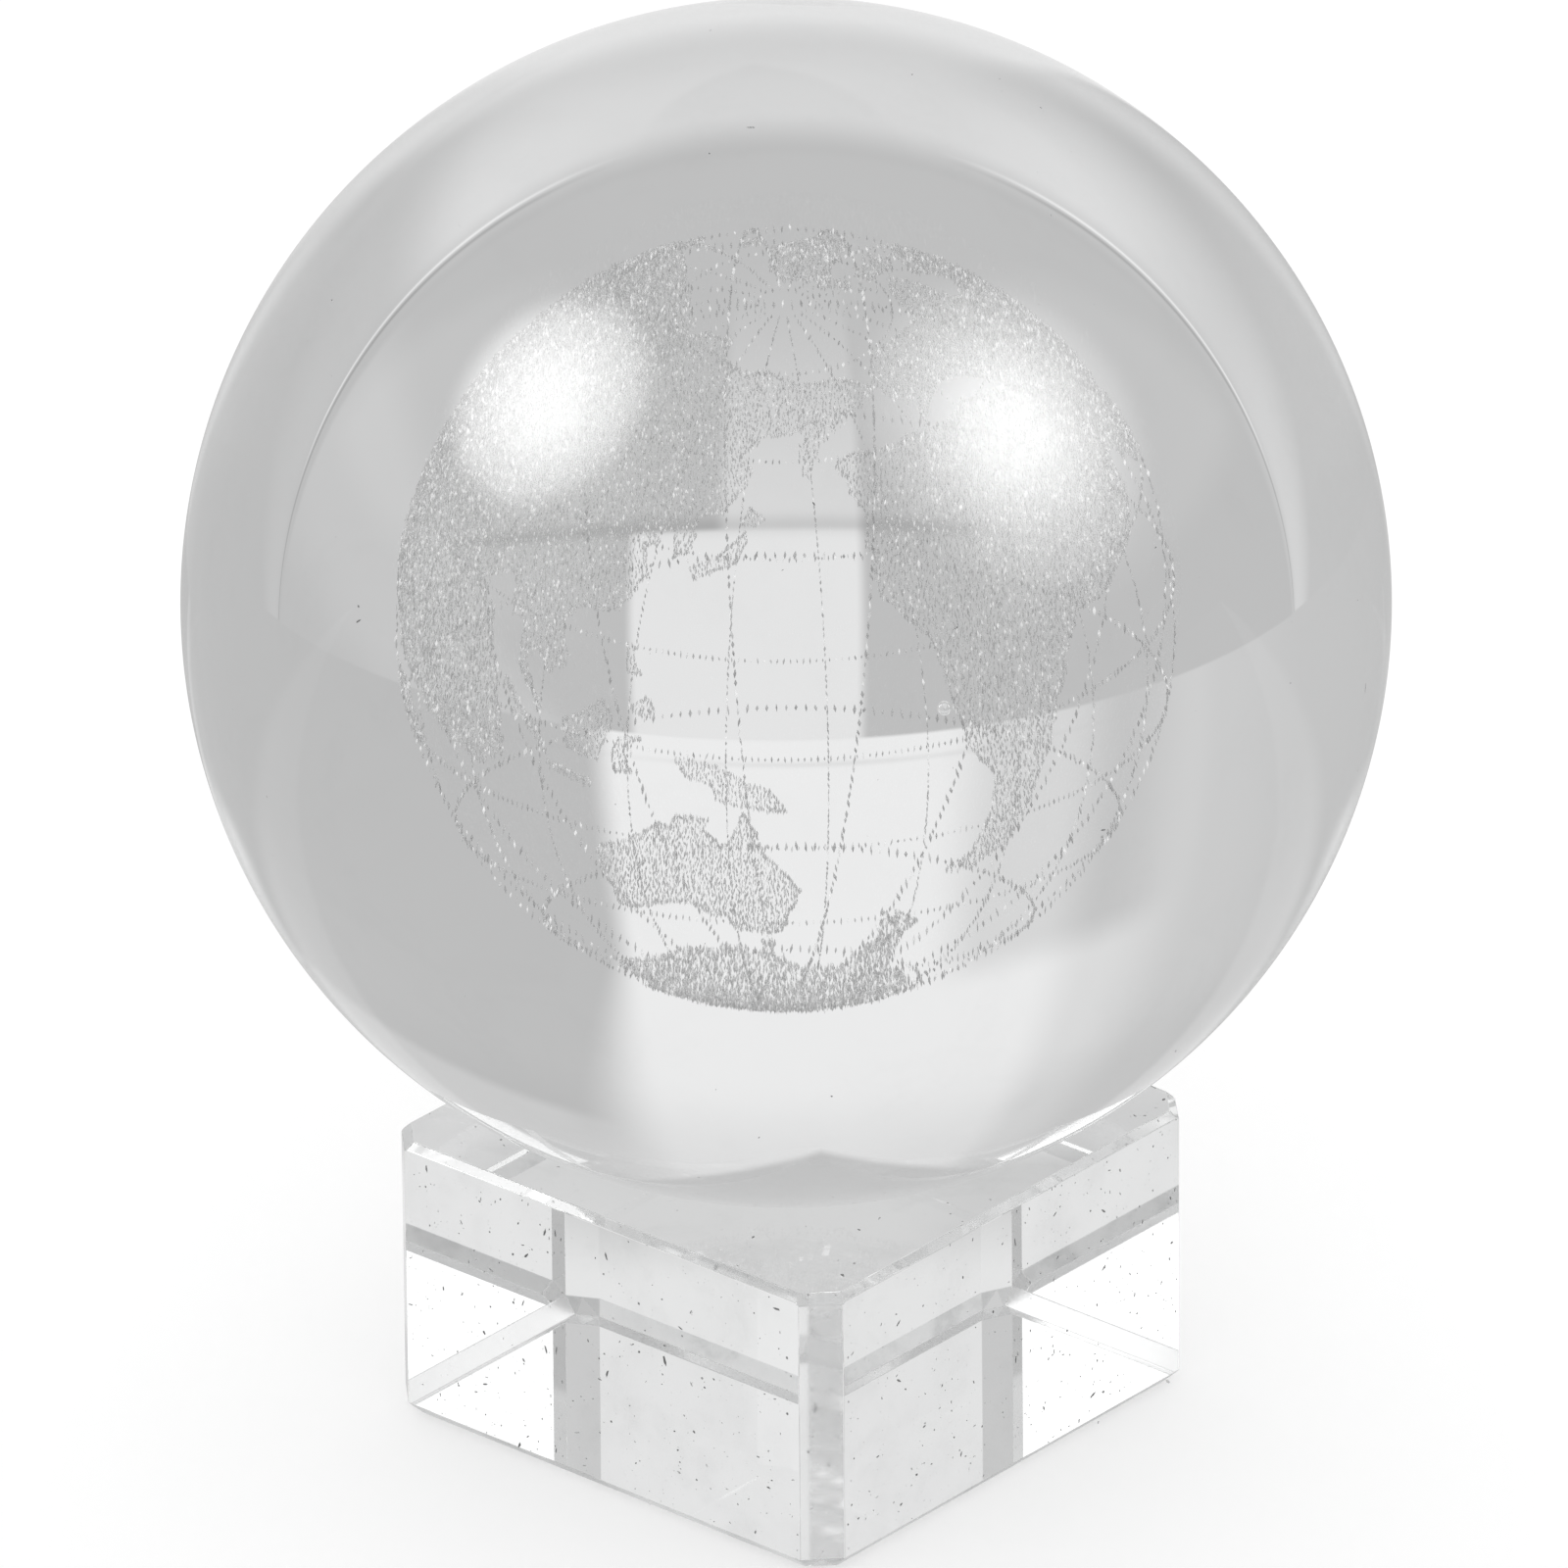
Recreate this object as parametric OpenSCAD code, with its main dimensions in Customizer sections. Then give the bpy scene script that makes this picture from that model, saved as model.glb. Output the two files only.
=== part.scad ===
// Crystal ball with an engraved globe inside, resting in a dished crystal block.
// Millimetres, +Z up. The origin is the middle of the block's underside.

/* [Ball] */
// Diameter of the ball
ball_d = 80; // [50:0.5:110]
// Diameter of the seed bubble left in the glass
bubble_d = 0.65; // [0.2:0.05:1.5]
// How far the seed bubble lies from the ball's upright axis
bubble_out = 7.2; // [0:0.1:12]
// Heading of the seed bubble around that axis
bubble_heading = 24; // [0:1:360]
// How far the seed bubble lies below the ball's middle
bubble_drop = 4.2; // [-10:0.1:10]

/* [Stand] */
// Length of each side of the square block
stand_side = 38.8; // [30:0.1:60]
// Height of the block
stand_h = 20.7; // [10:0.1:40]
// Leg of the flat cut down each upright corner
corner_cut = 2.1; // [0.5:0.1:5]
// Leg of the small cut along the top edges of the four sides
edge_cut = 0.5; // [0.1:0.05:1.2]
// Leg of the small cut at the top end of each corner flat
flat_end_cut = 0.65; // [0.1:0.05:1.5]
// Leg of the cut along every edge of the underside
base_cut = 1.05; // [0.2:0.05:2]
// Depth that the ball sits below the block's top face
seat_depth = 1.8; // [0.6:0.1:3.2]
// Gap between the ball and the polished dish under it
seat_gap = 0.1; // [0.05:0.01:0.3]

/* [Engraving] */
// Radius of the engraved globe
globe_r = 16.9; // [10:0.1:22]
// How far the globe's middle lies below the ball's middle
globe_drop = 0.8; // [0:0.1:2]
// Turn of the globe: heading of its zero meridian
globe_turn = 160; // [0:1:360]
// Thickness of the engraved layer of a land
land_t = 0.3; // [0.1:0.05:0.6]
// Thickness of an engraved line
line_t = 0.16; // [0.1:0.02:0.4]
// Angle between two meridians and between two parallels
grid_step = 18; // [15, 18, 30]
// Turn of the meridians against the lands
grid_turn = -4; // [-15:1:15]
// Angle left clear around each pole by the meridians
pole_clear = 4; // [3:0.5:12]

/* [Hidden] */

ball_r = ball_d / 2;
ball_z = stand_h - seat_depth + ball_r;
globe_z = ball_z - globe_drop;
half_side = stand_side / 2;
// distance from the block's axis out to a corner flat
flat_reach = (stand_side - corner_cut) / sqrt(2);

GLASS = [0.90, 0.92, 0.94];
BLOCK = [0.84, 0.88, 0.90];
FROST = [0.97, 0.97, 0.99];
LINE = [0.70, 0.74, 0.80];

$fn = 96;

// Coastlines as [longitude, latitude] in degrees, east and north positive.
ASIA = [
    [60, 68.7], [68, 68.6], [72, 73], [80, 73], [104, 77.7], [113, 74], [130, 71],
    [140, 72.8], [161, 69.6], [180, 69], [190, 66], [179, 62.4], [170, 60],
    [162.5, 57.5], [157, 51], [156.2, 57.5], [163, 61.6], [154, 59.4], [143, 59],
    [137, 54.2], [141, 52.5], [140, 48], [135.5, 43.8], [130, 42.4], [129.4, 36],
    [126.4, 34.6], [125.3, 39.2], [121.5, 39], [117.8, 39], [122.4, 37.1],
    [119.2, 34.8], [121.8, 31], [117, 23.7], [108.5, 21.6], [105.8, 18.8],
    [109, 12.5], [105, 8.8], [102, 12.4], [99.3, 10], [103.6, 1.6], [98.3, 8],
    [97.5, 16.6], [94.3, 16], [91.6, 22.4], [87, 21], [80.2, 14], [77.6, 8.2],
    [73, 17.5], [72.2, 21], [66.8, 25], [57.4, 26.6], [48.8, 30], [51.6, 24.6],
    [56.2, 25.8], [59.6, 22.5], [52, 15.8], [43.6, 12.9], [39.2, 21], [35, 28.5],
    [36, 36.4], [27.6, 37], [29.5, 40.8], [38, 41], [48.8, 41.5], [53, 46],
    [51.5, 50.5], [60.5, 52], [60, 60]
];
EUROPE = [
    [46, 43], [50.8, 46.8], [49.5, 51.6], [58, 53.4], [58, 68.4], [44, 66.4],
    [37, 64], [41, 66.8], [28, 71], [14, 67.5], [5, 61.8], [7, 58.1], [11, 59],
    [13, 55.6], [17, 60.5], [24.5, 65.6], [22, 60.4], [28.5, 59.8], [20, 54.6],
    [10.8, 54], [10.4, 57.6], [8.4, 54], [1.8, 50.8], [-4.6, 48.4], [-1.4, 45],
    [-9, 43], [-8.9, 37.1], [-2, 36.8], [3.2, 42], [8.8, 44.3], [16, 38.2],
    [17, 40.6], [12.6, 45.2], [19.5, 41.5], [22.6, 36.8], [24, 40.4], [28.4, 41.4],
    [31, 46.4], [38.5, 46.8], [38, 44.4]
];
AFRICA = [
    [-5.8, 35.6], [10, 37], [11, 33.6], [19.6, 30.6], [22, 32.7], [31, 31.4],
    [37.2, 20.6], [39.8, 15], [43, 11.6], [51, 11.8], [47, 4], [39.2, -5],
    [40.6, -14.5], [35, -20], [35.3, -24], [31, -29.8], [27, -33.6], [20, -34.7],
    [15, -27], [12, -18], [13.6, -11], [9, -0.6], [9.4, 4], [4.5, 6.2],
    [-7.5, 4.4], [-13, 8.6], [-17.2, 14.6], [-16.4, 22], [-10, 29.4]
];
AUSTRALIA = [
    [142.5, -10.7], [145.3, -15], [146.3, -19], [150.8, -23.5], [153.5, -28],
    [151.2, -33.2], [149.9, -37.6], [146.4, -39], [140, -38], [138, -33.6],
    [135.8, -34.8], [131.3, -31.5], [124, -33], [118, -35], [115, -34.2],
    [115.6, -31], [113.5, -26], [113.8, -22], [121.6, -18.6], [124.4, -16.2],
    [127, -14], [129.5, -15], [131, -12.2], [136.8, -12.1], [135.6, -14.9],
    [139.6, -17.5], [141.6, -14]
];
NORTH_AMERICA = [
    [-168, 65.7], [-156.5, 71.2], [-128, 70], [-115, 68.2], [-95, 71.4], [-83, 69],
    [-87, 64.5], [-94.4, 60], [-92.5, 57], [-82.3, 55], [-79.6, 51.4], [-77, 56],
    [-77.6, 62.2], [-64.6, 60], [-56, 52.5], [-66, 49.8], [-61.4, 45.8], [-70, 43.4],
    [-75.7, 36], [-81.2, 31], [-80.3, 25.6], [-84, 30], [-90, 29.4], [-97.2, 27.2],
    [-97.4, 21.5], [-94.4, 18.3], [-90.4, 20.8], [-87, 21.2], [-88.4, 15.8],
    [-83.4, 14.6], [-82.8, 9.8], [-79.4, 9.2], [-85.6, 10], [-94, 16], [-105.4, 20],
    [-112.6, 30.6], [-110, 23.2], [-117.2, 32.8], [-124.2, 40], [-124, 47],
    [-130, 54.4], [-137, 58.8], [-147, 60.8], [-153.4, 58.8], [-164, 54.8],
    [-157.6, 58.8], [-165, 62]
];
SOUTH_AMERICA = [
    [-77, 8.2], [-71.8, 12], [-62, 10.5], [-51.6, 4.6], [-50, 0], [-44.3, -2.6],
    [-35.2, -6.4], [-39, -13.5], [-41, -22], [-48.5, -26.6], [-53.6, -33.8],
    [-57.6, -38], [-65, -41.6], [-67.5, -46], [-69, -51.6], [-65.6, -54.8],
    [-71.6, -53.6], [-75.4, -49], [-73.4, -38], [-71.5, -30], [-70.3, -18.6],
    [-76, -14], [-81, -5], [-80, 0], [-77.2, 4]
];
GREENLAND = [
    [-72, 78.2], [-60, 81.6], [-32, 83.4], [-18, 80], [-21, 74], [-24, 70.2],
    [-34, 67.4], [-43, 60.2], [-51, 63], [-54, 69.6], [-61, 76]
];
ANTARCTICA = [
    [-57, -63.4], [-61, -68], [-61, -74.4], [-40, -78], [-20, -73], [-5, -70.4],
    [15, -69.4], [35, -69], [55, -66], [68, -71], [80, -68], [100, -66.2],
    [120, -66.8], [145, -67], [163, -70], [166, -78], [190, -78.4], [205, -77],
    [225, -74.6], [255, -73.6], [286, -73.4], [291, -68.6], [296, -64.8]
];
ASIAN_ISLANDS = [
    [[131, -0.8], [138, -1.7], [147.5, -6], [150.8, -10.4], [143, -9], [138, -8.2],
     [137.8, -5.2], [133, -4]],
    [[109, 1.6], [116.8, 7], [119, 5], [117.4, 0.6], [116, -4], [110.3, -2.8]],
    [[95.3, 5.6], [103.6, -1.4], [105.8, -5.6], [98.6, 1.4]],
    [[105.4, -7.2], [114.4, -8], [114.3, -9.2], [106.5, -8.2]],
    [[120.2, 1.2], [125, 1.6], [121.2, -0.4], [122.7, -5.2], [119.5, -5.4], [118.9, -2]],
    [[120.4, 18.4], [122.3, 18.3], [121.8, 15.8], [124, 12.8], [120.5, 13.8]],
    [[122, 7], [125.4, 9.8], [126.5, 7.2], [125.5, 5.8]],
    [[130.2, 33.4], [136, 35.7], [140, 39], [141.3, 41.3], [141.9, 39.4], [140.6, 35.4],
     [135.6, 33.6], [131.2, 31.4]],
    [[140.2, 42.4], [141.8, 45.3], [145.4, 43.3], [143, 42.1]],
    [[80, 9.6], [81.8, 7], [80.3, 6.1]]
];
OCEAN_ISLANDS = [
    [[172.8, -34.5], [178.4, -37.7], [175.2, -41.4], [173.8, -39.3]],
    [[172.8, -41.2], [174.2, -42.4], [170.7, -45.9], [167, -46], [168.5, -44]],
    [[144.8, -41], [148.3, -41], [147, -43.6]],
    [[49.3, -12.2], [50.4, -15.7], [47, -25], [43.6, -22.5], [44.4, -16.2]],
    [[-5.4, 58.4], [-2, 57.4], [1.5, 52.7], [0.8, 51.2], [-5.4, 50.2], [-3.4, 54]],
    [[-8, 55.2], [-6.4, 52.3], [-10, 51.7]],
    [[-22.4, 66.2], [-14.6, 66], [-14.4, 64.6], [-20, 63.5]],
    [[-84.4, 22.2], [-80.4, 23], [-74.6, 20.4], [-78, 20]],
    [[-85, 73.4], [-77, 73], [-63, 66.6], [-66, 62.4], [-73, 65], [-79, 70.4]],
    [[-90, 77], [-80, 76.6], [-68, 81.2], [-84, 82]]
];

// Unit vector towards a longitude and latitude
function ray(p) = [cos(p[1]) * cos(p[0]), cos(p[1]) * sin(p[0]), sin(p[1])];
// Sum of a list of vectors
function total(list, i = 0) = i == len(list) ? [0, 0, 0] : list[i] + total(list, i + 1);
// Longitude and latitude of the middle of an outline
function middle(outline) =
    let (m = total([for (p = outline) ray(p)]))
    [atan2(m.y, m.x), atan2(m.z, norm([m.x, m.y]))];
// Outline seen from straight above its middle c: x runs south and y runs east
function flat_outline(outline, c) =
    let (south = [sin(c[1]) * cos(c[0]), sin(c[1]) * sin(c[0]), -cos(c[1])],
         east = [-sin(c[0]), cos(c[0]), 0])
    [for (p = outline) globe_r * [ray(p) * south, ray(p) * east]];

// Moves the drawing to the engraved globe's middle and turns it to its heading
module at_globe() {
    translate([0, 0, globe_z])
        rotate([0, 0, globe_turn])
            children();
}

// One land: the part of a thin round shell that lies over its outline
module land(outline) {
    c = middle(outline);
    rotate([0, 90 - c[1], c[0]])
        intersection() {
            rotate([0, 90, 0])
                difference() {
                    sphere(r = globe_r + land_t / 2);
                    sphere(r = globe_r - land_t / 2);
                }
            translate([0, 0, land_t])
                linear_extrude(height = globe_r)
                    polygon(flat_outline(outline, c));
        }
}

// The square block's outline, its corners cut flat
module block_outline() {
    inner = half_side - corner_cut;
    polygon([
        [inner, -half_side], [half_side, -inner], [half_side, inner], [inner, half_side],
        [-inner, half_side], [-half_side, inner], [-half_side, -inner], [-inner, -half_side]
    ]);
}

// Bar that cuts one long edge at 45 degrees: the edge is reach out from the axis at
// height z, and up is 1 for an edge of the top face and -1 for one of the underside
module edge_bar(reach, z, leg, up) {
    translate([reach - leg / 2, 0, z - up * leg / 2])
        rotate([0, -45 * up, 0])
            translate([0, -stand_side, -1.5 * leg])
                cube([3 * leg, 2 * stand_side, 3 * leg]);
}

// All the small cuts around the block's top face or underside
module face_cuts(z, up, side_leg, flat_leg) {
    for (turn = [0:90:270]) {
        rotate([0, 0, turn])
            edge_bar(half_side, z, side_leg, up);
        rotate([0, 0, turn + 45])
            edge_bar(flat_reach, z, flat_leg, up);
    }
}

module stand_block() {
    color(BLOCK)
        difference() {
            linear_extrude(height = stand_h)
                block_outline();
            face_cuts(0, -1, base_cut, base_cut);
            face_cuts(stand_h, 1, edge_cut, flat_end_cut);
            translate([0, 0, ball_z])
                sphere(r = ball_r + seat_gap);
        }
}

module crystal_ball() {
    color(GLASS)
        difference() {
            translate([0, 0, ball_z])
                sphere(r = ball_r);
            rotate([0, 0, bubble_heading])
                translate([bubble_out, 0, ball_z - bubble_drop])
                    sphere(d = bubble_d);
        }
}

module engraved_meridians() {
    sweep = 180 - 2 * pole_clear;
    color(LINE)
        at_globe()
            for (lon = [0:grid_step:359])
                rotate([90, 0, lon + grid_turn])
                    rotate([0, 0, -sweep / 2])
                        rotate_extrude(angle = sweep)
                            translate([globe_r, 0])
                                circle(d = line_t, $fn = 16);
}

module engraved_parallels() {
    rings = floor((90 - pole_clear) / grid_step);
    color(LINE)
        at_globe()
            for (i = [-rings:rings])
                translate([0, 0, globe_r * sin(i * grid_step)])
                    rotate_extrude()
                        translate([globe_r * cos(i * grid_step), 0])
                            circle(d = line_t, $fn = 16);
}

module engraved_asia() {
    color(FROST) at_globe() land(ASIA);
}

module engraved_europe() {
    color(FROST) at_globe() land(EUROPE);
}

module engraved_africa() {
    color(FROST) at_globe() land(AFRICA);
}

module engraved_australia() {
    color(FROST) at_globe() land(AUSTRALIA);
}

module engraved_north_america() {
    color(FROST) at_globe() land(NORTH_AMERICA);
}

module engraved_south_america() {
    color(FROST) at_globe() land(SOUTH_AMERICA);
}

module engraved_greenland() {
    color(FROST) at_globe() land(GREENLAND);
}

module engraved_antarctica() {
    color(FROST) at_globe() land(ANTARCTICA);
}

module engraved_asian_islands() {
    color(FROST)
        at_globe()
            for (island = ASIAN_ISLANDS)
                land(island);
}

module engraved_ocean_islands() {
    color(FROST)
        at_globe()
            for (island = OCEAN_ISLANDS)
                land(island);
}

stand_block();
crystal_ball();
engraved_meridians();
engraved_parallels();
engraved_asia();
engraved_europe();
engraved_africa();
engraved_australia();
engraved_north_america();
engraved_south_america();
engraved_greenland();
engraved_antarctica();
engraved_asian_islands();
engraved_ocean_islands();
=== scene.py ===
import math
import random

import bmesh
import bpy
import numpy as np
from mathutils import Matrix, Vector, noise
from mathutils.bvhtree import BVHTree


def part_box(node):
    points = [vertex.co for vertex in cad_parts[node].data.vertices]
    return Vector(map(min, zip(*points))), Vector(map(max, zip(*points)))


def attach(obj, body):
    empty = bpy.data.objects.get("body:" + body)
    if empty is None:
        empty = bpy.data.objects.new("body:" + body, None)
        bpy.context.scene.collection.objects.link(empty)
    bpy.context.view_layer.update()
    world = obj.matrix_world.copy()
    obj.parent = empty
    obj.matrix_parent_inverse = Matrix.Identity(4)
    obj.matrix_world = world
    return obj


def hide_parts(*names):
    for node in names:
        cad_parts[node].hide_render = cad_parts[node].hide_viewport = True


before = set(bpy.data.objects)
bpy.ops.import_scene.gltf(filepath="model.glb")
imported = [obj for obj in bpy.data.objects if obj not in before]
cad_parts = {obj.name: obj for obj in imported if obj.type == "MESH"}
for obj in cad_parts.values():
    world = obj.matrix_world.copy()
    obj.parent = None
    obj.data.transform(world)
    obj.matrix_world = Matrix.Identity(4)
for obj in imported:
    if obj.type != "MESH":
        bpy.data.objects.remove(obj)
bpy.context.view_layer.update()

# ---------------------------------------------------------------- sizes, in metres
MM = 0.001

BALL_LOW, BALL_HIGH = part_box("crystal_ball")
BALL_RADIUS = (BALL_HIGH.z - BALL_LOW.z) / 2
BALL_CENTRE = Vector((0, 0, (BALL_LOW.z + BALL_HIGH.z) / 2))
BUBBLE_RADIUS = 0.325 * MM
BUBBLE_OUT = 7.2 * MM
BUBBLE_HEADING = math.radians(24)
BUBBLE_DROP = 4.2 * MM
BUBBLE_CENTRE = BALL_CENTRE + Vector((
    BUBBLE_OUT * math.cos(BUBBLE_HEADING), BUBBLE_OUT * math.sin(BUBBLE_HEADING), -BUBBLE_DROP))

BLOCK_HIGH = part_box("stand_block")[1]
HALF_SIDE = BLOCK_HIGH.x
BLOCK_TOP = BLOCK_HIGH.z
CORNER_CUT = 2.1 * MM
EDGE_CUT = 0.5 * MM
FLAT_END_CUT = 0.65 * MM
BASE_CUT = 1.05 * MM
FLAT_REACH = (2 * HALF_SIDE - CORNER_CUT) / math.sqrt(2)
POLISHED_EDGE = 0.05 * MM
SEAT_GAP = 0.1 * MM

RING_LOW, RING_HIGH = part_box("engraved_parallels")
LINE_WIDTH = 0.16 * MM
GLOBE_RADIUS = (RING_HIGH.x - RING_LOW.x - LINE_WIDTH) / 2
GLOBE_CENTRE = (RING_LOW + RING_HIGH) / 2
GLOBE_TURN = math.radians(160)
GRID_STEP = math.radians(18)
GRID_TURN = math.radians(-4)
POLE_CLEAR = math.radians(4)

CRYSTAL_IOR = 1.5168

# ---------------------------------------------------------------- shader maths


class Wire:
    """A node's output. Arithmetic on wires adds Math nodes to their tree."""

    def __init__(self, bench, socket):
        self.bench = bench
        self.socket = socket

    def math(self, operation, *others):
        """A Math node that takes this wire first."""
        return self.bench.maths(operation, self, *others)

    def __add__(self, other):
        return self.math("ADD", other)

    def __sub__(self, other):
        return self.math("SUBTRACT", other)

    def __rsub__(self, other):
        return self.bench.maths("SUBTRACT", other, self)

    def __mul__(self, other):
        return self.math("MULTIPLY", other)

    def __truediv__(self, other):
        return self.math("DIVIDE", other)

    def __rtruediv__(self, other):
        return self.bench.maths("DIVIDE", other, self)

    def __pow__(self, other):
        return self.math("POWER", other)

    def __neg__(self):
        return 0 - self

    def __abs__(self):
        return self.math("ABSOLUTE")

    __radd__ = __add__
    __rmul__ = __mul__

    def least(self, other):
        return self.math("MINIMUM", other)

    def most(self, other):
        return self.math("MAXIMUM", other)

    def eased(self, start, end):
        """0 below start, 1 above end, with a smooth step between."""
        return self.bench.node(
            "ShaderNodeMapRange", {"interpolation_type": "SMOOTHSTEP"},
            {0: self, 1: start, 2: end, 3: 0.0, 4: 1.0})


class Bench:
    """The node tree of one material or of the world."""

    def __init__(self, tree):
        self.tree = tree
        tree.nodes.clear()

    def node(self, kind, settings=None, sockets=None, out=0):
        made = self.tree.nodes.new(kind)
        for name, value in (settings or {}).items():
            if name == "stops":
                self.set_stops(made.color_ramp, value)
            else:
                setattr(made, name, value)
        for name, value in (sockets or {}).items():
            if isinstance(value, Wire):
                self.tree.links.new(value.socket, made.inputs[name])
            else:
                made.inputs[name].default_value = value
        return Wire(self, made.outputs[out]) if made.outputs else made

    def maths(self, operation, *values):
        return self.node("ShaderNodeMath", {"operation": operation}, dict(enumerate(values)))

    @staticmethod
    def set_stops(ramp, stops):
        while len(ramp.elements) < len(stops):
            ramp.elements.new(0.5)
        for element, (place, grey) in zip(ramp.elements, stops):
            element.position = place
            element.color = (grey, grey, grey, 1)

    def mix(self, share, first, second):
        """A colour that goes from first to second as share goes from 0 to 1."""
        return self.node("ShaderNodeMix", {"data_type": "RGBA"}, {0: share, 6: first, 7: second}, out=2)

    def dot(self, vector, direction):
        return self.node(
            "ShaderNodeVectorMath", {"operation": "DOT_PRODUCT"},
            {0: vector, 1: tuple(direction)}, out="Value")


def finish_bench(name):
    """A new material, and the bench to build it on."""
    material = bpy.data.materials.new(name)
    material.use_nodes = True
    return material, Bench(material.node_tree)


# ---------------------------------------------------------------- finishes


BALL_TINT = (0.985, 0.988, 0.99, 1)
BALL_SMUDGE_TINT = (0.955, 0.958, 0.96, 1)
BLOCK_TINT = (0.985, 0.99, 0.99, 1)
BLOCK_SMUDGE_TINT = (0.9, 0.905, 0.905, 1)
GROUND_TINT = (0.8, 0.81, 0.81, 1)
GROUND_SMUDGE_TINT = (0.5, 0.51, 0.51, 1)
SMUDGE_HAZE = 0.03
SATIN_HAZE = 0.08
GROUND_HAZE = 0.28
TOP_EDGE_SATIN = 0.6         # how much of the corner flats' satin the top edges have


def smudges(bench, place):
    """How smudged by handling each spot is, from 0 to 1, in soft clouds broken up by a fine grain."""
    cloud = bench.node("ShaderNodeTexNoise", {}, {
        "Vector": place, "Scale": 130.0, "Detail": 4.0, "Roughness": 0.55, "Distortion": 0.8})
    grain = bench.node("ShaderNodeTexNoise", {}, {
        "Vector": place, "Scale": 900.0, "Detail": 3.0, "Roughness": 0.6})
    return cloud.eased(0.46, 0.66) * (0.45 + 0.55 * grain.eased(0.4, 0.62))


def clear_glass(bench, colour, roughness):
    """Crystal with this tint and this much haze in its polish."""
    glass = bench.node("ShaderNodeBsdfPrincipled", {}, {
        "Base Color": colour, "Roughness": roughness, "IOR": CRYSTAL_IOR, "Transmission Weight": 1.0})
    bench.node("ShaderNodeOutputMaterial", {}, {"Surface": glass})


def ball_finish():
    """Clear optical glass, polished, with very faint smudges."""
    material, bench = finish_bench("ball_crystal")
    smudge = smudges(bench, bench.node("ShaderNodeTexCoord", out="Object"))
    clear_glass(bench, bench.mix(smudge, BALL_TINT, BALL_SMUDGE_TINT), 0.0)
    return material


def block_finish():
    """Clear optical glass: polished faces, satin corner flats and top edges, ground lower edges."""
    material, bench = finish_bench("block_crystal")
    place = bench.node("ShaderNodeTexCoord", out="Object")
    x, y, z = (bench.dot(place, axis) / MM for axis in ((1, 0, 0), (0, 1, 0), (0, 0, 1)))
    out = abs(x).most(abs(y))
    side, top = HALF_SIDE / MM, BLOCK_TOP / MM
    edge, base = EDGE_CUT / MM, BASE_CUT / MM
    flat = 2 * side - CORNER_CUT / MM
    corner = (abs(x) + abs(y)).eased(flat - 0.1, flat - 0.02)
    upper = z.eased(top - edge - 0.1, top - edge) * out.eased(side - edge - 0.1, side - edge)
    lower = (1 - z.eased(base, base + 0.05)) * out.eased(side - base - 0.05, side - base)
    smudge = smudges(bench, place)
    polished = bench.mix(smudge, BLOCK_TINT, BLOCK_SMUDGE_TINT)
    ground = bench.mix(smudge, GROUND_TINT, GROUND_SMUDGE_TINT)
    satin = corner.most(TOP_EDGE_SATIN * upper)
    roughness = (SMUDGE_HAZE * smudge).most(SATIN_HAZE * satin).most(GROUND_HAZE * lower)
    clear_glass(bench, bench.mix(lower, polished, ground), roughness)
    return material


def crack_finish(name, dark, light, painted_glint):
    """Tiny laser-made cracks: each one is a different grey. All of them glow a little as painted light,
    and some glow brightly as painted glints of their facets.
    """
    material, bench = finish_bench(name)
    chance = bench.node("ShaderNodeNewGeometry", out="Random Per Island")
    grey = bench.node("ShaderNodeValToRGB", {
        "stops": [(0.0, dark), (0.6, (dark + light) / 2), (1.0, light)]}, {"Fac": chance})
    # painted light: a faint glow on every crack, and painted glints on the brightest few
    painted_glow = bench.node("ShaderNodeValToRGB", {
        "stops": [(0.0, 0.1), (0.8, 0.14), (0.9, painted_glint), (1.0, 1.3 * painted_glint)]}, {"Fac": chance})
    body = bench.node("ShaderNodeBsdfPrincipled", {}, {
        "Base Color": grey, "Roughness": 0.35, "IOR": 1.3, "Emission Color": painted_glow,
        "Emission Strength": 1.0})
    bench.node("ShaderNodeOutputMaterial", {}, {"Surface": body})
    return material


def dust_finish(name):
    """Specks of dust: each one is its own grey, and few are pale."""
    material, bench = finish_bench(name)
    chance = bench.node("ShaderNodeNewGeometry", out="Random Per Island")
    grey = bench.node("ShaderNodeValToRGB", {
        "stops": [(0.0, 0.3), (0.6, 0.5), (1.0, 0.95)]}, {"Fac": chance})
    body = bench.node("ShaderNodeBsdfPrincipled", {}, {"Base Color": grey, "Roughness": 0.6})
    bench.node("ShaderNodeOutputMaterial", {}, {"Surface": body})
    return material


# ---------------------------------------------------------------- making pieces

SPHERE_STEPS = 7
BUBBLE_STEPS = 4

def add_piece(name, mesh, material, body, nodes):
    """Puts a mesh on its body in place of the CAD nodes named."""
    piece = bpy.data.objects.new(name, mesh)
    bpy.context.scene.collection.objects.link(piece)
    mesh.materials.clear()
    mesh.materials.append(material)
    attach(piece, body)
    if nodes:
        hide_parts(*nodes)
    return piece


def add_stage(name, mesh, material):
    """Puts a mesh in the studio. It isn't part of the object."""
    thing = bpy.data.objects.new(name, mesh)
    bpy.context.scene.collection.objects.link(thing)
    mesh.materials.append(material)
    return thing


def ball_mesh():
    """The polished ball, with the seed bubble as a hollow turned inside out."""
    bm = bmesh.new()
    bmesh.ops.create_icosphere(bm, subdivisions=SPHERE_STEPS, radius=BALL_RADIUS,
                               matrix=Matrix.Translation(BALL_CENTRE))
    made = bmesh.ops.create_icosphere(bm, subdivisions=BUBBLE_STEPS, radius=BUBBLE_RADIUS,
                                      matrix=Matrix.Translation(BUBBLE_CENTRE))
    inside = {face for vert in made["verts"] for face in vert.link_faces}
    bmesh.ops.reverse_faces(bm, faces=list(inside))
    for face in bm.faces:
        face.smooth = True
    mesh = bpy.data.meshes.new("ball_glass")
    bm.to_mesh(mesh)
    bm.free()
    return mesh


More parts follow.
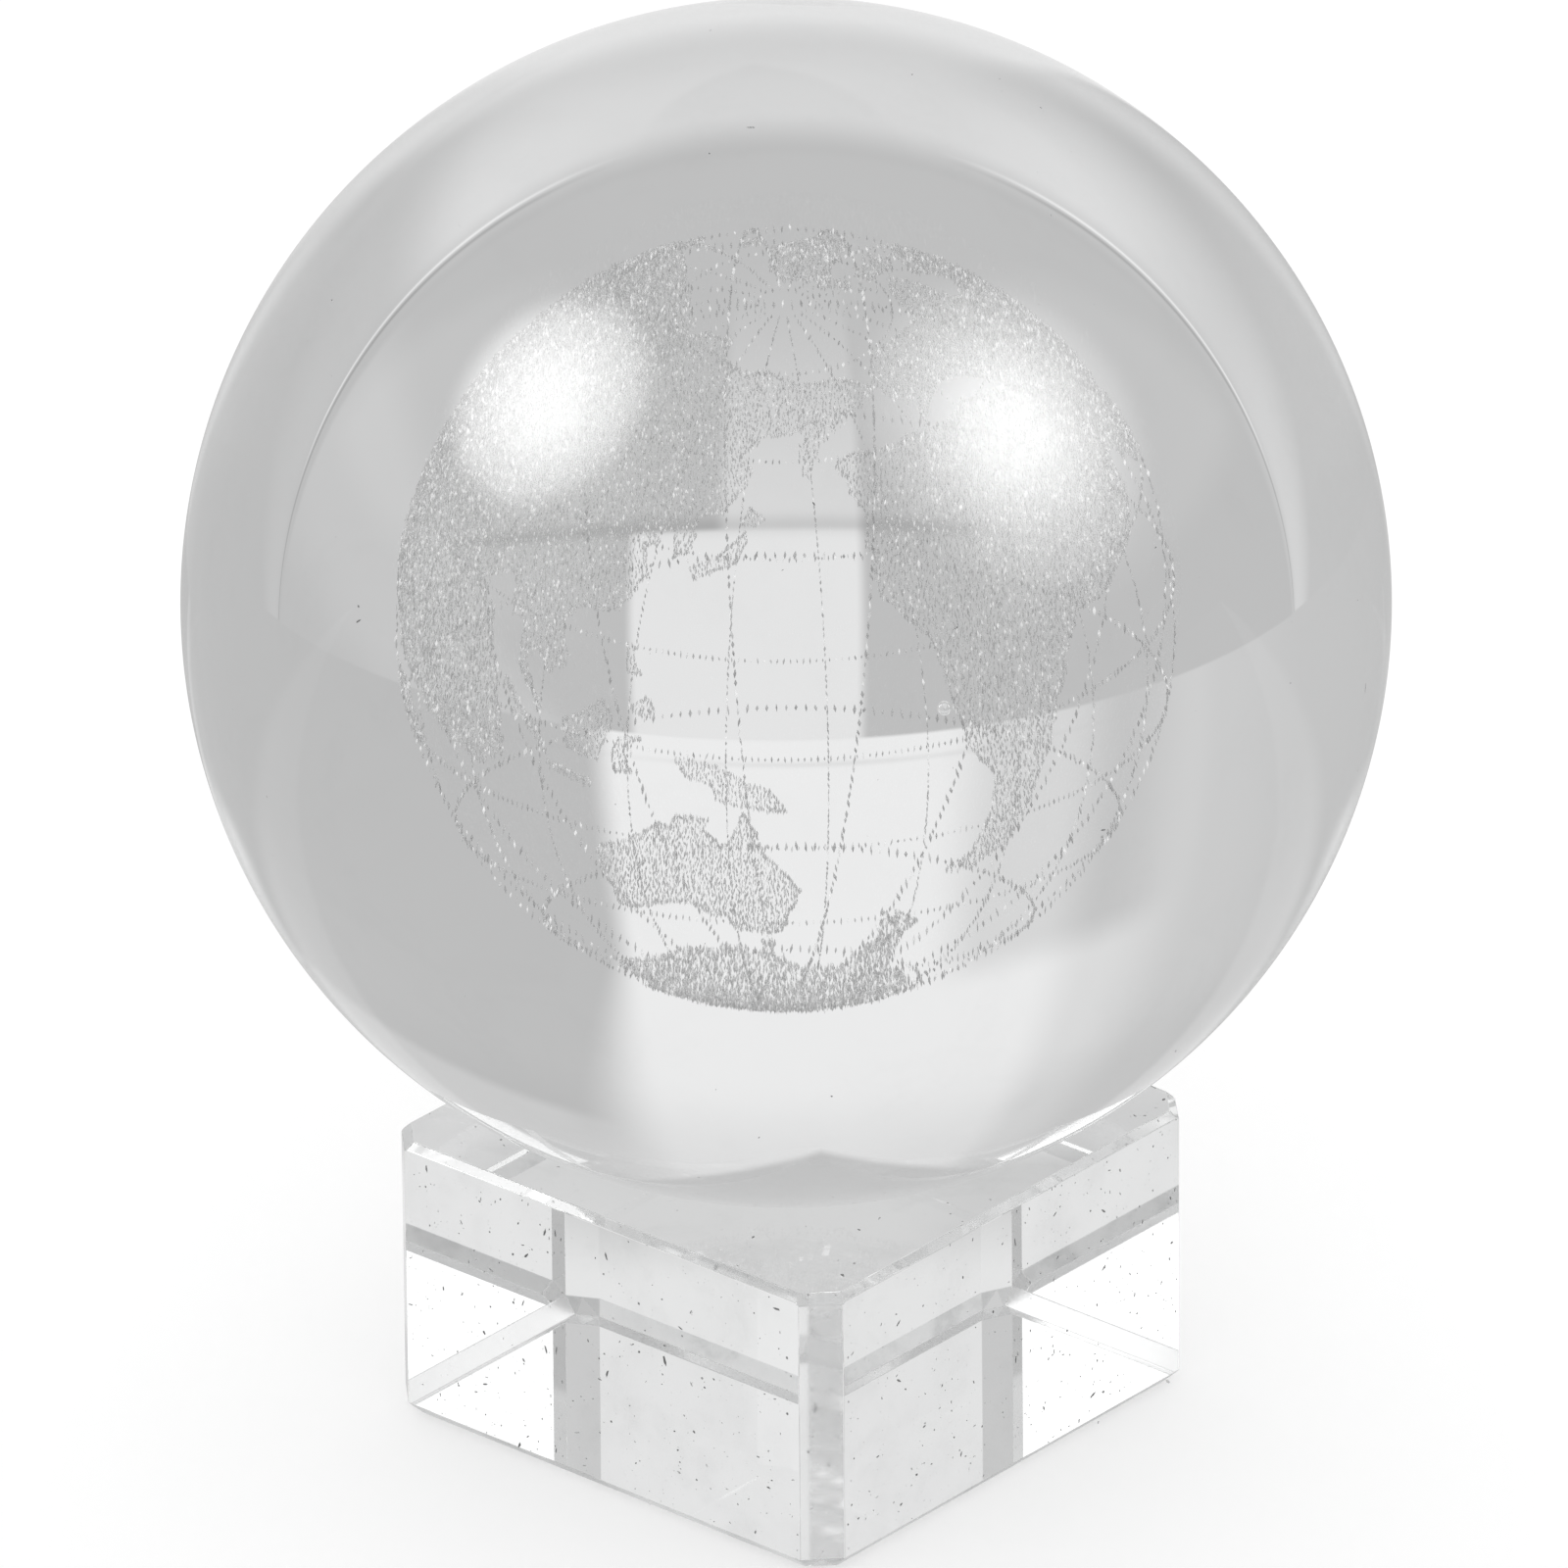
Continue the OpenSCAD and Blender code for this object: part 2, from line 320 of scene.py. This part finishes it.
def block_ring(side_in, flat_in):
    """The block's eight-cornered outline, its sides and corner flats moved in by these lengths."""
    side = HALF_SIDE - side_in
    other = (FLAT_REACH - flat_in) * math.sqrt(2) - side
    return [(side, -other), (side, other), (other, side), (-other, side),
            (-side, other), (-side, -other), (-other, -side), (other, -side)]


def block_mesh():
    """The square block: cut corners and edges, each corner line polished round, and the dish."""
    levels = [
        (0, BASE_CUT, BASE_CUT), (BASE_CUT, 0, 0),
        (BLOCK_TOP - FLAT_END_CUT, 0, 0), (BLOCK_TOP - EDGE_CUT, 0, FLAT_END_CUT - EDGE_CUT),
        (BLOCK_TOP, EDGE_CUT, FLAT_END_CUT)]
    bm = bmesh.new()
    rings = [[bm.verts.new((x, y, z)) for x, y in block_ring(side_in, flat_in)]
             for z, side_in, flat_in in levels]
    for low, high in zip(rings, rings[1:]):
        for i in range(8):
            j = (i + 1) % 8
            bm.faces.new((low[i], low[j], high[j], high[i]))
    bm.faces.new(list(reversed(rings[0])))
    bm.faces.new(rings[-1])
    bmesh.ops.dissolve_limit(bm, angle_limit=math.radians(1), verts=bm.verts, edges=bm.edges)
    sharp = [edge for edge in bm.edges if edge.calc_face_angle(0) > math.radians(5)]
    bmesh.ops.bevel(bm, geom=sharp, offset=POLISHED_EDGE, segments=2, profile=0.5,
                    affect="EDGES", clamp_overlap=True)
    block = bpy.data.meshes.new("block_glass")
    bm.to_mesh(block)
    bm.free()
    return cut_dish(block)


def cut_dish(block):
    """Takes the round dish out of the block's top, and shades it smooth."""
    reach = BALL_RADIUS + SEAT_GAP
    bm = bmesh.new()
    bmesh.ops.create_icosphere(bm, subdivisions=SPHERE_STEPS, radius=reach,
                               matrix=Matrix.Translation(BALL_CENTRE))
    spare = 6 * MM
    far = [vert for vert in bm.verts if vert.co.z > BLOCK_TOP + spare]
    bmesh.ops.delete(bm, geom=far, context="VERTS")
    rim = [edge for edge in bm.edges if edge.is_boundary]
    bmesh.ops.holes_fill(bm, edges=rim, sides=0)
    cutter_mesh = bpy.data.meshes.new("dish_cutter")
    bm.to_mesh(cutter_mesh)
    bm.free()
    blank = bpy.data.objects.new("block_blank", block)
    cutter = bpy.data.objects.new("dish_cutter", cutter_mesh)
    for thing in (blank, cutter):
        bpy.context.scene.collection.objects.link(thing)
    cut = blank.modifiers.new("dish", "BOOLEAN")
    cut.operation = "DIFFERENCE"
    cut.solver = "EXACT"
    cut.object = cutter
    ready = blank.evaluated_get(bpy.context.evaluated_depsgraph_get())
    mesh = bpy.data.meshes.new_from_object(ready)
    for thing in (blank, cutter):
        bpy.data.objects.remove(thing)
    bm = bmesh.new()
    bm.from_mesh(mesh)
    slack = 0.02 * MM
    for face in bm.faces:
        face.smooth = all(abs((vert.co - BALL_CENTRE).length - reach) < slack for vert in face.verts)
    for edge in bm.edges:
        edge.smooth = len({face.smooth for face in edge.link_faces}) == 1
    bm.to_mesh(mesh)
    bm.free()
    return mesh


# ---------------------------------------------------------------- the engraving

CRACK_WIDTH = 0.048 * MM     # from a crack's middle to its side
CRACK_LENGTH = 0.15 * MM     # from a crack's middle to its end
CRACK_LEAN = 0.13
LINE_CRACK_SIZE = 1.1
FINE_CRACK_SIZE = 0.75
LAND_PITCH = 0.19 * MM
FINE_PITCH = 0.14 * MM
FINE_LANDS = ("engraved_south_america", "engraved_africa")
LINE_PITCH = 0.34 * MM
COAST_PITCH = 0.12 * MM
LAND_SCATTER = 0.05 * MM
LINE_SCATTER = 0.02 * MM
LATTICE_SHAKE = 0.22         # as a share of the pitch
NEAR_LAND = math.radians(12)
CRACK_SEED = 11              # seeds the cracks' places and the coasts' noise
LAND_NODES = [name for name in sorted(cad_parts) if name.startswith("engraved_")
              and name not in ("engraved_meridians", "engraved_parallels")]


def crack_mesh(name, places, chance, size=1.0):
    """One upright spindle at each place, each with its own size and lean."""
    places = np.asarray(places, float)
    count = len(places)
    width = CRACK_WIDTH * size * chance.uniform(0.7, 1.3, count)
    length = CRACK_LENGTH * size * chance.uniform(0.6, 1.4, count)
    lean = chance.normal(0, CRACK_LEAN, (count, 2))
    spin = chance.uniform(0, math.pi, count)
    corners = np.zeros((count, 6, 3))
    for k in range(4):
        turn = spin + k * math.pi / 2
        corners[:, k, 0] = width * np.cos(turn)
        corners[:, k, 1] = width * np.sin(turn)
    for k, way in ((4, 1), (5, -1)):
        corners[:, k, 0] = way * length * lean[:, 0]
        corners[:, k, 1] = way * length * lean[:, 1]
        corners[:, k, 2] = way * length
    corners += places[:, None, :]
    faces = []
    for k in range(4):
        after = (k + 1) % 4
        faces += [(k, after, 4), (after, k, 5)]
    loops = (np.arange(count)[:, None, None] * 6 + np.array(faces)[None]).reshape(-1)
    mesh = bpy.data.meshes.new(name)
    mesh.vertices.add(count * 6)
    mesh.vertices.foreach_set("co", corners.reshape(-1))
    mesh.loops.add(len(loops))
    mesh.loops.foreach_set("vertex_index", loops)
    mesh.polygons.add(len(loops) // 3)
    mesh.polygons.foreach_set("loop_start", np.arange(0, len(loops), 3))
    mesh.polygons.foreach_set("loop_total", np.full(len(loops) // 3, 3))
    mesh.update(calc_edges=True)
    mesh.validate()
    return mesh


def sphere_lattice(pitch, chance):
    """Unit directions spread evenly over a sphere, each shaken a little."""
    count = int(4 * math.pi * GLOBE_RADIUS ** 2 / pitch ** 2)
    index = np.arange(count) + 0.5
    z = 1 - 2 * index / count
    turn = index * math.pi * (3 - math.sqrt(5))
    flat = np.sqrt(1 - z * z)
    way = np.stack([flat * np.cos(turn), flat * np.sin(turn), z], 1)
    way += chance.normal(0, LATTICE_SHAKE * pitch / GLOBE_RADIUS, way.shape)
    return way / np.linalg.norm(way, axis=1)[:, None]


def ragged(way):
    """Where the coast's small bays and capes move a direction to."""
    bays = noise.noise_vector(Vector(way) * 11) * 0.012
    capes = noise.noise_vector(Vector(way) * 37) * 0.006
    return (Vector(way) + (bays + capes)).normalized()


def land_places(node, lattice):
    """The lattice directions that lie over one engraved land."""
    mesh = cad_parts[node].data
    points = [vert.co - GLOBE_CENTRE for vert in mesh.vertices]
    tree = BVHTree.FromPolygons(points, [tuple(face.vertices) for face in mesh.polygons])
    unit = np.array([tuple(point.normalized()) for point in points])
    found = []
    sample = unit[:: max(1, len(unit) // 400)]
    near = (lattice @ sample.T).max(1) > math.cos(NEAR_LAND)
    for way in lattice[near]:
        moved = ragged(way)
        if tree.ray_cast(Vector((0, 0, 0)), moved)[0] is not None:
            found.append(way)
    return np.array(found)


def coast_places(node, chance):
    """Directions along the outline of one engraved land."""
    bm = bmesh.new()
    bm.from_mesh(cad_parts[node].data)
    bmesh.ops.remove_doubles(bm, verts=bm.verts, dist=0.001 * MM)
    found = []

    def is_cap(face):
        return abs(face.normal.dot((face.calc_center_median() - GLOBE_CENTRE).normalized())) > 0.5

    for edge in bm.edges:
        middle = (edge.verts[0].co + edge.verts[1].co) / 2 - GLOBE_CENTRE
        if middle.length < GLOBE_RADIUS or len({is_cap(face) for face in edge.link_faces}) < 2:
            continue
        start, end = (vert.co - GLOBE_CENTRE for vert in edge.verts)
        steps = max(1, round((end - start).length / COAST_PITCH))
        for k in range(steps):
            way = start.lerp(end, (k + chance.uniform(0, 1)) / steps).normalized()
            shake = ragged(way) - way
            found.append((way - shake).normalized()[:])
    bm.free()
    return np.array(found)


def on_globe(ways, chance, scatter):
    """Places on the engraved globe in these directions, a little deeper or shallower each."""
    ways = np.asarray(ways, float)
    ways = ways / np.linalg.norm(ways, axis=1)[:, None]
    reach = GLOBE_RADIUS + chance.normal(0, scatter, len(ways))
    return np.array(GLOBE_CENTRE) + ways * reach[:, None]


def meridian_places(chance):
    """Directions along the meridians, which stop short of the poles."""
    step = LINE_PITCH / GLOBE_RADIUS
    found = []
    for k in range(round(2 * math.pi / GRID_STEP)):
        heading = GLOBE_TURN + GRID_TURN + k * GRID_STEP
        for rise in np.arange(POLE_CLEAR - math.pi / 2, math.pi / 2 - POLE_CLEAR, step):
            rise += chance.normal(0, 0.08 * step)
            found.append((math.cos(rise) * math.cos(heading), math.cos(rise) * math.sin(heading),
                          math.sin(rise)))
    return found


def parallel_places(chance):
    """Directions along the parallels."""
    rings = int((math.pi / 2 - POLE_CLEAR) / GRID_STEP)
    found = []
    for k in range(-rings, rings + 1):
        rise = k * GRID_STEP
        count = round(2 * math.pi * math.cos(rise) * GLOBE_RADIUS / LINE_PITCH)
        for heading in np.arange(count) * 2 * math.pi / count:
            heading += chance.normal(0, 0.1 / count)
            found.append((math.cos(rise) * math.cos(heading), math.cos(rise) * math.sin(heading),
                          math.sin(rise)))
    return found


def engrave_all():
    """Every engraved line and land, as clouds of cracks."""
    noise.seed_set(CRACK_SEED)
    chance = np.random.default_rng(CRACK_SEED)
    land = crack_finish("land_cracks", 0.66, 0.98, 0.26)
    line = crack_finish("line_cracks", 0.5, 0.9, 0.35)
    for node, places in (("engraved_meridians", meridian_places(chance)),
                         ("engraved_parallels", parallel_places(chance))):
        mesh = crack_mesh(node, on_globe(places, chance, LINE_SCATTER), chance, LINE_CRACK_SIZE)
        add_piece(node.replace("engraved", "dotted"), mesh, line, "ball", [node])
    lattice = sphere_lattice(LAND_PITCH, chance)
    fine_lattice = sphere_lattice(FINE_PITCH, chance)
    for node in LAND_NODES:
        fine = node in FINE_LANDS
        inland = land_places(node, fine_lattice if fine else lattice)
        ways = np.concatenate([inland, coast_places(node, chance)])
        size = FINE_CRACK_SIZE if fine else 1.0
        mesh = crack_mesh(node, on_globe(ways, chance, LAND_SCATTER), chance, size)
        add_piece(node.replace("engraved", "stippled"), mesh, land, "ball", [node])


# ---------------------------------------------------------------- dust


def speck_mesh(name, spots, chance, smallest, largest):
    """Small flat flakes, each with five uneven corners. A spot is a place and its normal."""
    points, faces = [], []
    for place, normal in spots:
        across = normal.orthogonal().normalized()
        along = normal.cross(across)
        size = smallest * (largest / smallest) ** (chance.random() ** 3)
        stretch = chance.choice((1, 1, 1, 1.8, 3))
        spin = chance.uniform(0, math.tau)
        start = len(points)
        for k in range(5):
            turn = k * math.tau / 5
            reach = size * chance.uniform(0.6, 1.2)
            x, y = reach * stretch * math.cos(turn), reach * math.sin(turn)
            points.append(place + across * (x * math.cos(spin) - y * math.sin(spin))
                          + along * (x * math.sin(spin) + y * math.cos(spin)))
        faces.append(tuple(range(start, start + 5)))
    mesh = bpy.data.meshes.new(name)
    mesh.from_pydata([tuple(point) for point in points], [], faces)
    return mesh


SPECK_DEPTH = 0.02 * MM      # how far under the ball, the walls and the underside they lie
SPECK_SMALLEST = 0.02 * MM
BALL_SPECK_LARGEST = 0.11 * MM
BLOCK_SPECK_LARGEST = 0.12 * MM
BALL_SPECKS = 260
WALL_SPECKS = 250
UNDERSIDE_SPECKS = 220


def ball_specks(chance):
    """Specks all over the ball."""
    spots = []
    for _ in range(BALL_SPECKS):
        normal = Vector([chance.gauss(0, 1) for _ in range(3)]).normalized()
        spots.append((BALL_CENTRE + normal * (BALL_RADIUS - SPECK_DEPTH), normal))
    return speck_mesh("ball_specks", spots, chance, SPECK_SMALLEST, BALL_SPECK_LARGEST)


def block_specks(chance):
    """Specks on the block's four sides and its underside."""
    spots = []
    walls = [Vector((1, 0, 0)), Vector((-1, 0, 0)), Vector((0, 1, 0)), Vector((0, -1, 0))]
    margin = CORNER_CUT + 0.3 * MM
    for wall in walls:
        along = Vector((-wall.y, wall.x, 0))
        for _ in range(WALL_SPECKS):
            place = wall * (HALF_SIDE - SPECK_DEPTH)
            place += along * chance.uniform(margin - HALF_SIDE, HALF_SIDE - margin)
            place.z = chance.uniform(EDGE_CUT, BLOCK_TOP - EDGE_CUT)
            spots.append((place, wall))
    for _ in range(UNDERSIDE_SPECKS):
        place = Vector((chance.uniform(-1, 1), chance.uniform(-1, 1), 0)) * (HALF_SIDE - margin)
        place.z = SPECK_DEPTH
        spots.append((place, Vector((0, 0, -1))))
    return speck_mesh("block_specks", spots, chance, SPECK_SMALLEST, BLOCK_SPECK_LARGEST)


# ---------------------------------------------------------------- studio

CAMERA_HEADING = math.radians(40.82)
CAMERA_RISE = math.radians(26.48)
CAMERA_ROLL = math.radians(-0.466)
CAMERA_FAR = 1.490
CAMERA_LEFT = 0.42 * MM
CAMERA_LIFT = 22.2 * MM
LENS_LENGTH = 512
BACK = Vector((math.sin(CAMERA_HEADING) * math.cos(CAMERA_RISE),
               -math.cos(CAMERA_HEADING) * math.cos(CAMERA_RISE), math.sin(CAMERA_RISE)))
RIGHT = Vector((math.cos(CAMERA_HEADING), math.sin(CAMERA_HEADING), 0))
AWAY = Vector((-math.sin(CAMERA_HEADING), math.cos(CAMERA_HEADING), 0))
UP = BACK.cross(RIGHT)


def add_camera():
    """Looks down at the block's corner through a long lens."""
    lens = bpy.data.cameras.new("camera")
    camera = bpy.data.objects.new("camera", lens)
    bpy.context.scene.collection.objects.link(camera)
    lens.sensor_width = 36
    lens.lens = LENS_LENGTH
    lens.clip_start = 0.05
    lens.clip_end = 50
    across = RIGHT * math.cos(CAMERA_ROLL) + UP * math.sin(CAMERA_ROLL)
    upward = BACK.cross(across)
    seat = Vector((0, 0, BLOCK_TOP))
    camera.location = seat + BACK * CAMERA_FAR - across * CAMERA_LEFT + upward * CAMERA_LIFT
    camera.rotation_euler = Matrix((across, upward, BACK)).transposed().to_euler()
    bpy.context.scene.camera = camera


STAGE_HALF = 6
SHEET_DROP = 0.5 * MM
FLOOR_GREY = (0.4, 0.4, 0.4, 1)
FLOOR_GLOW = 0.6


def flat_sheet(name, height):
    """A level square, as wide as the stage."""
    half = STAGE_HALF
    mesh = bpy.data.meshes.new(name)
    mesh.from_pydata([(-half, -half, height), (half, -half, height), (half, half, height),
                      (-half, half, height)], [], [(0, 1, 2, 3)])
    return mesh


def add_floor():
    """The plain floor. The glass shows the studio sheet in its place."""
    material, bench = finish_bench("pale_floor")
    paper = bench.node("ShaderNodeBsdfPrincipled", {}, {
        "Base Color": FLOOR_GREY, "Roughness": 1.0, "Specular IOR Level": 0.0,
        "Emission Color": (1, 1, 1, 1), "Emission Strength": FLOOR_GLOW})
    bench.node("ShaderNodeOutputMaterial", {}, {"Surface": paper})
    floor = add_stage("pale_floor", flat_sheet("pale_floor", 0), material)
    floor.visible_transmission = False
    floor.visible_glossy = False


# ---------------------------------------------------------------- what the glass shows

DEGREES = 180 / math.pi
GLASS_SHARE = 0.9            # of the light behind it, what two polished surfaces let through
GLASS_VEIL = 0.02            # and what they add
FAN_START = 42               # how far behind the ball its bearings fan out from, in millimetres
LENS_END = 160               # how far from the ball the dark zone behind it ends, in millimetres
STRIP_STEP = 110             # how far behind the ball the strip in that zone turns bright
NEAR_TONE = 0.48
LENS_TONE = 0.495
FRONT_TONE = 0.61
RIDGE_TONE = 0.50
ROOM_TONE = 0.45
PANEL_TONE = 1.05
CEILING_TONE = 0.58
OPEN_LIGHT = 1.15            # the light away from the glass
LAMP_LIGHT = 11.5
LAMP_SPREAD = 17.5
LAMP_DEEP = 0.1              # share of a lamp left for light that met the glass more than once
LAMPS = (                    # bearing, rise, and where its edge fades, all in degrees
    (-104.5, 46.6, (15, 22)),
    (114.0, 44.0, (24, 31)))


def in_glass(tone):
    """The brightness that shows as this tone once seen through two polished surfaces."""
    return (tone - GLASS_VEIL) / GLASS_SHARE


def bell(value, middle, width):
    """A smooth hump of height 1 at middle."""
    offset = (value - middle) / width
    return (-(offset * offset)).math("EXPONENT")


def wall_tone(bearing, dark_edge):
    """Tone of the sweep behind the ball: dark to the right of dark_edge, and darker far to the left.

    bearing is in degrees to the right of straight away.
    """
    left = -bearing
    tone = 0.81 - 0.33 * bearing.eased(10.5, dark_edge)
    return tone - 0.12 * left.eased(18, 24) - 0.12 * left.eased(24, 36) - 0.03 * left.eased(36, 50)


def low_shade(bearing):
    """How much darker the left of the sweep is where it meets the table."""
    left = -bearing
    return 0.16 * left.eased(9, 14) * (1 - left.eased(24, 33))


def sheet_tone(x, y):
    """Tone of the sheet under and behind the ball, in millimetres right of the ball and away from it."""
    reach = (x * x + y * y) ** 0.5
    fan = x.math("ARCTAN2", y - FAN_START) * DEGREES
    side = abs(x)
    # shade: where the hyperbola through this place crosses the line straight away from the ball
    shade = ((y * y - 1.36 * x * x).most(0)) ** 0.5
    in_lens = shade.eased(64, 66) * (1 - reach.eased(LENS_END - 1, LENS_END + 1))
    in_far = reach.eased(LENS_END - 2, LENS_END)
    spread = 1 + 0.35 * bell(side, 19, 8)
    spread = spread * (1 - 0.75 * x.eased(20, 32)) * (1 - 0.35 * (-x).eased(24, 40))
    near = NEAR_TONE + 0.17 * shade.eased(24, 56) * (1 - shade.eased(58, 65)) * spread
    near = near + 0.07 * bell(shade, 68, 1.7) * (1 - side.eased(14, 26))
    near = near + 0.05 * (1 - x.eased(-60, -20))
    # the dark zone behind the ball, with a bright strip near its middle
    strip = fan.eased(-4.9, -4.0) * (1 - fan.eased(9.0, 9.9))
    upper = fan.eased(-4.9, -4.0) * (1 - fan.eased(3.2, 4.4))
    beyond = y.eased(STRIP_STEP - 0.5, STRIP_STEP + 0.5)
    lens = LENS_TONE + 0.05 * x.eased(26, 34) * (1 - x.eased(50, 80))
    lens = lens + 0.26 * strip * beyond + upper * (1 - beyond) * 0.17 * y.eased(76, 109)
    lens = lens - 0.11 * bell(y, 109.4, 1.3) * (1 - fan.eased(22, 30)) * fan.eased(-16, -10)
    # the fine light and dark outlines of that zone
    outline = bell(shade, 61.4, 0.28) * (1 - reach.eased(158, 162))
    outline = outline * side.eased(8, 20) * (1 - side.eased(40, 60))
    border = 0.16 * bell(shade, 62.3, 0.35) * side.eased(8, 20) * (1 - in_far)
    far = wall_tone(fan, 13) - low_shade(fan)
    tone = near + (far - near) * in_far
    tone = tone + (lens - tone) * in_lens
    tone = tone + 0.25 * outline - border
    tone = tone - 0.09 * bell(reach, 172, 1.6) * bell(fan, -3, 12)
    # in front, and under the block
    right = x.eased(6, 14)
    front = FRONT_TONE - 0.05 * right + (0.15 + 0.05 * right) * y.eased(8, 13)
    return tone + (front - tone) * (1 - y.eased(30, 44))


def add_table():
    """The sheet that only shows through the glass and in it."""
    material, bench = finish_bench("studio_sheet")
    place = bench.node("ShaderNodeNewGeometry", out="Position")
    x = bench.dot(place, RIGHT) / MM
    y = bench.dot(place, AWAY) / MM
    glow = bench.node("ShaderNodeEmission", {}, {
        "Color": (1, 1, 1, 1), "Strength": in_glass(sheet_tone(x, y))})
    bench.node("ShaderNodeOutputMaterial", {}, {"Surface": glow})
    sheet = add_stage("studio_sheet", flat_sheet("studio_sheet", -SHEET_DROP), material)
    sheet.visible_camera = False
    sheet.visible_diffuse = False
    sheet.visible_shadow = False


def light_world():
    """The sweep behind the ball, white panels at both sides, a dim ceiling and two round lamps."""
    world = bpy.data.worlds.new("studio")
    bpy.context.scene.world = world
    world.use_nodes = True
    bench = Bench(world.node_tree)
    way = bench.node("ShaderNodeTexCoord", out="Generated")
    rise = bench.dot(way, (0, 0, 1)).math("ARCSINE") * DEGREES
    bearing = bench.dot(way, RIGHT).math("ARCTAN2", bench.dot(way, AWAY)) * DEGREES
    tone = wall_tone(bearing, 13 + 0.32 * rise.most(0)) * (1 - 0.08 * rise.eased(14, 28))
    tone = tone + 0.12 * rise.eased(24.5, 28) * bearing.eased(14, 24)
    tone = tone - low_shade(bearing) * (1 - rise.eased(0, 5))
    ridge = rise - 0.77 * abs(bearing + 3)
    tone = tone + (RIDGE_TONE - tone) * ridge.eased(28, 31)
    turned = abs(bearing)
    tone = tone + (ROOM_TONE - tone) * turned.eased(95, 130)
    panel = turned.eased(62, 72) * (1 - turned.eased(130, 145)) * rise.eased(9, 17)
    tone = tone + (PANEL_TONE - tone) * panel
    tone = tone + (CEILING_TONE - tone) * rise.eased(45, 65)
    lamps = 0
    for lamp_bearing, lamp_rise, edge in LAMPS:
        turn, lift = math.radians(lamp_bearing), math.radians(lamp_rise)
        aim = (RIGHT * math.sin(turn) + AWAY * math.cos(turn)) * math.cos(lift)
        aim.z = math.sin(lift)
        near = bench.dot(way, aim).least(1).math("ARCCOSINE") * DEGREES
        lamps = lamps + LAMP_LIGHT * bell(near, 0, LAMP_SPREAD) * (1 - near.eased(*edge))
    mirrored = bench.node("ShaderNodeLightPath", out="Is Glossy Ray")
    through = bench.node("ShaderNodeLightPath", out="Is Transmission Ray")
    turns = bench.node("ShaderNodeLightPath", out="Ray Depth")
    first = 1 - turns.eased(2.1, 2.9)
    glassy = mirrored.most(through)
    lamps = lamps * (LAMP_DEEP + (1 - LAMP_DEEP) * first)
    strength = glassy * (in_glass(tone) + lamps) + (1 - glassy) * OPEN_LIGHT
    glow = bench.node("ShaderNodeBackground", {}, {"Color": (1, 1, 1, 1), "Strength": strength})
    bench.node("ShaderNodeOutputWorld", {}, {"Surface": glow})
    world.cycles.sampling_method = "NONE"


def set_view():
    """Plain tones, and enough bounces for light that turns many times inside the block."""
    scene = bpy.context.scene
    scene.view_settings.view_transform = "Standard"
    scene.view_settings.look = "None"
    scene.cycles.max_bounces = 64
    scene.cycles.glossy_bounces = 64
    scene.cycles.transmission_bounces = 64
    scene.cycles.diffuse_bounces = 2


# ---------------------------------------------------------------- assembly

add_camera()
add_floor()
add_table()
light_world()
set_view()

add_piece("block_glass", block_mesh(), block_finish(), "stand", ["stand_block"])
add_piece("ball_glass", ball_mesh(), ball_finish(), "ball", ["crystal_ball"])
engrave_all()
dust = dust_finish("dust")
add_piece("block_specks", block_specks(random.Random(5)), dust, "stand", [])
add_piece("ball_specks", ball_specks(random.Random(7)), dust, "ball", [])
